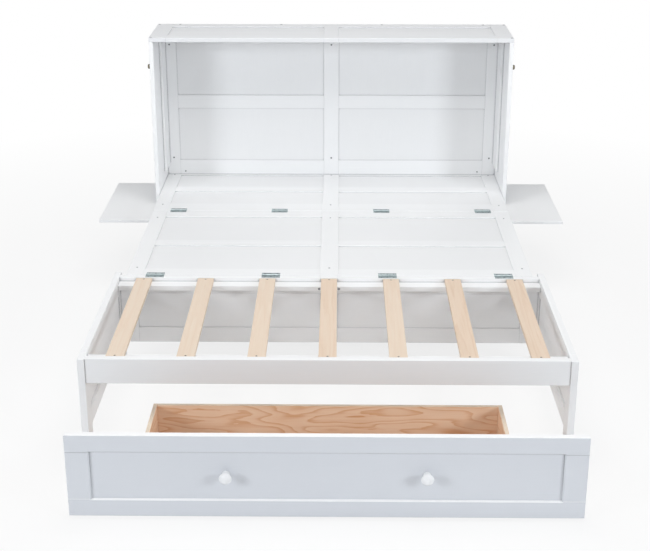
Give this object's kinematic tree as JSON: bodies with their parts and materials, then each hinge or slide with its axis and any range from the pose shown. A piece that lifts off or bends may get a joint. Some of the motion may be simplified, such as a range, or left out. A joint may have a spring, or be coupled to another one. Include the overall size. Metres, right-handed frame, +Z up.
{
  "type": "cabinet bed",
  "caption": "White fold-out cabinet bed: low open cabinet with a hinged deck, slatted foot frame, pull-out side shelves and a wide rolling drawer.",
  "frame": {"origin": "on the floor, below the middle of the open bed's box", "axes": "+X to the right seen from the foot, +Y towards the head, +Z up"},
  "size_m": [2.046, 2.416, 1.108],
  "materials": {
    "white_paint": "satin white paint",
    "bare_pine": "bare planed pine",
    "drawer_pine": "clear lacquered pine",
    "hinge_steel": "zinc plated",
    "fastener_steel": "zinc plated",
    "brass": "dark antique brass",
    "wheel_plastic": "moulded"
  },
  "bodies": {
    "cabinet": {"cabinet_side_left": "white_paint", "cabinet_side_right": "white_paint", "top_stiles": "white_paint", "top_rails": "white_paint", "top_panels": "white_paint", "side_battens": "white_paint", "back_stiles": "white_paint", "back_rails": "white_paint", "back_panels": "white_paint", "cabinet_screws": "fastener_steel", "base_back": "white_paint", "base_front_rail": "white_paint", "shelf_runners": "white_paint", "base_sides": "white_paint", "deck_beam": "white_paint", "head_deck_stiles": "white_paint", "head_deck_rails": "white_paint", "head_deck_panels": "white_paint", "head_hinge_rear_leaves": "hinge_steel", "head_hinge_pins": "hinge_steel", "catch_barrels": "brass"},
    "middle_deck": {"middle_deck_stiles": "white_paint", "middle_deck_rails": "white_paint", "middle_deck_panels": "white_paint", "middle_deck_screws": "fastener_steel", "head_hinge_front_leaves": "hinge_steel", "foot_hinge_rear_leaves": "hinge_steel", "foot_hinge_pins": "hinge_steel"},
    "foot_frame": {"foot_legs_left": "white_paint", "foot_legs_right": "white_paint", "foot_side_rails_left": "white_paint", "foot_side_rails_right": "white_paint", "foot_side_panel_left": "white_paint", "foot_side_panel_right": "white_paint", "strike_rings": "brass", "front_apron": "white_paint", "rear_board_stiles": "white_paint", "rear_board_rails": "white_paint", "rear_board_panels": "white_paint", "slat_ledgers": "white_paint", "slats": "bare_pine", "foot_screws": "fastener_steel", "foot_hinge_front_leaves": "hinge_steel"},
    "shelf_left": {"shelf_left": "white_paint"},
    "shelf_right": {"shelf_right": "white_paint"},
    "catch_plunger_left": {"catch_plunger_left": "brass"},
    "catch_plunger_right": {"catch_plunger_right": "brass"},
    "drawer": {"drawer_front_rails": "white_paint", "drawer_front_stiles": "white_paint", "drawer_front_panel": "white_paint", "drawer_knobs": "white_paint", "drawer_box_sides": "drawer_pine", "drawer_box_back": "drawer_pine", "drawer_bottom": "drawer_pine", "drawer_wheel_brackets": "fastener_steel", "drawer_axles": "fastener_steel"},
    "drawer_wheel_front_left": {"drawer_wheel_front_left": "wheel_plastic"},
    "drawer_wheel_front_right": {"drawer_wheel_front_right": "wheel_plastic"},
    "drawer_wheel_rear_left": {"drawer_wheel_rear_left": "wheel_plastic"},
    "drawer_wheel_rear_right": {"drawer_wheel_rear_right": "wheel_plastic"}
  },
  "joints": [
    {"name": "middle_deck_fold", "type": "hinge", "parent": "cabinet", "child": "middle_deck", "pos_m": [0, 0.66, 0.391], "axis": [-1, 0, 0], "range_deg": [0, 90]},
    {"name": "foot_frame_fold", "type": "hinge", "parent": "middle_deck", "child": "foot_frame", "pos_m": [0, -0.098, 0.391], "axis": [-1, 0, 0], "range_deg": [0, 180]},
    {"name": "drawer_roll", "type": "slide", "parent": "cabinet", "child": "drawer", "axis": [0, 1, 0], "range_m": [-0.3, 0.308]},
    {"name": "shelf_left_slide", "type": "slide", "parent": "cabinet", "child": "shelf_left", "axis": [1, 0, 0], "range_m": [0, 0.225]},
    {"name": "shelf_right_slide", "type": "slide", "parent": "cabinet", "child": "shelf_right", "axis": [-1, 0, 0], "range_m": [0, 0.225]},
    {"name": "catch_left_press", "type": "slide", "parent": "cabinet", "child": "catch_plunger_left", "axis": [1, 0, 0], "range_m": [0, 0.0095], "stiffness_N_per_m": 400},
    {"name": "catch_right_press", "type": "slide", "parent": "cabinet", "child": "catch_plunger_right", "axis": [-1, 0, 0], "range_m": [0, 0.0095], "stiffness_N_per_m": 400},
    {"name": "wheel_front_left_spin", "type": "hinge", "parent": "drawer", "child": "drawer_wheel_front_left", "pos_m": [-0.52, -1.097, 0.02], "axis": [1, 0, 0], "continuous": true},
    {"name": "wheel_front_right_spin", "type": "hinge", "parent": "drawer", "child": "drawer_wheel_front_right", "pos_m": [0.52, -1.097, 0.02], "axis": [1, 0, 0], "continuous": true},
    {"name": "wheel_rear_left_spin", "type": "hinge", "parent": "drawer", "child": "drawer_wheel_rear_left", "pos_m": [-0.52, -0.822, 0.02], "axis": [1, 0, 0], "continuous": true},
    {"name": "wheel_rear_right_spin", "type": "hinge", "parent": "drawer", "child": "drawer_wheel_rear_right", "pos_m": [0.52, -0.822, 0.02], "axis": [1, 0, 0], "continuous": true}
  ]
}
